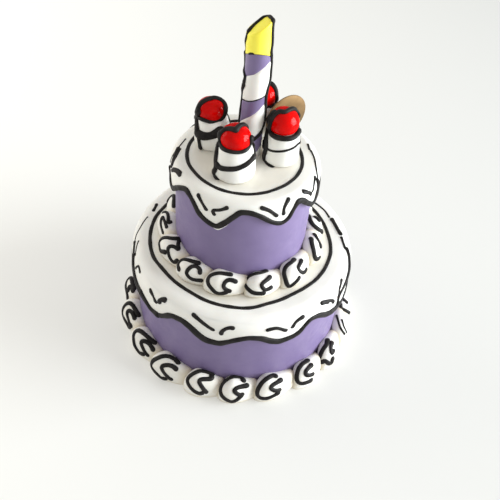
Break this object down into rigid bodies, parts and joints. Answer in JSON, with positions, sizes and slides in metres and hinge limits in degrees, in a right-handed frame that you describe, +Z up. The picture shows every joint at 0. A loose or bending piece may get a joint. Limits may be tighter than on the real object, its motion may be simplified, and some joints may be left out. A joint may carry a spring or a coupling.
{
  "type": "cake",
  "caption": "Round tiered celebration cake with white icing over purple, black cartoon outlines, shell borders, cream dollops with cherries and a striped candle.",
  "frame": {"origin": "centre of the lower tier's flat base, on the surface that the cake stands on", "axes": "+Z up, from the base to the candle's tip; -Y towards the cake's front, the side in the picture; +X to its right"},
  "size_m": [0.1987, 0.199, 0.274],
  "materials": {
    "white_icing": "smooth fondant with a faint satin sheen",
    "purple_icing": "smooth matte fondant",
    "candle_icing": "smooth fondant in purple and white bands",
    "yellow_icing": "smooth satin fondant",
    "red_cherry": "glossy glaze",
    "gold_disc": "plain satin gold card"
  },
  "bodies": {
    "root": {"candle": "candle_icing", "candle_tip": "yellow_icing", "cherry_back": "red_cherry", "cherry_front": "red_cherry", "cherry_left": "red_cherry", "cherry_right": "red_cherry", "dollop_back": "white_icing", "dollop_front": "white_icing", "dollop_left": "white_icing", "dollop_right": "white_icing", "gold_disc": "gold_disc", "lower_icing": "white_icing", "lower_shell_01": "white_icing", "lower_shell_02": "white_icing", "lower_shell_03": "white_icing", "lower_shell_04": "white_icing", "lower_shell_05": "white_icing", "lower_shell_06": "white_icing", "lower_shell_07": "white_icing", "lower_shell_08": "white_icing", "lower_shell_09": "white_icing", "lower_shell_10": "white_icing", "lower_shell_11": "white_icing", "lower_shell_12": "white_icing", "lower_shell_13": "white_icing", "lower_shell_14": "white_icing", "lower_shell_15": "white_icing", "lower_shell_16": "white_icing", "lower_shell_17": "white_icing", "lower_shell_18": "white_icing", "lower_shell_19": "white_icing", "lower_shell_20": "white_icing", "lower_tier": "purple_icing", "upper_icing": "white_icing", "upper_shell_01": "white_icing", "upper_shell_02": "white_icing", "upper_shell_03": "white_icing", "upper_shell_04": "white_icing", "upper_shell_05": "white_icing", "upper_shell_06": "white_icing", "upper_shell_07": "white_icing", "upper_shell_08": "white_icing", "upper_shell_09": "white_icing", "upper_shell_10": "white_icing", "upper_shell_11": "white_icing", "upper_shell_12": "white_icing", "upper_shell_13": "white_icing", "upper_shell_14": "white_icing", "upper_tier": "purple_icing"}
  },
  "joints": []
}
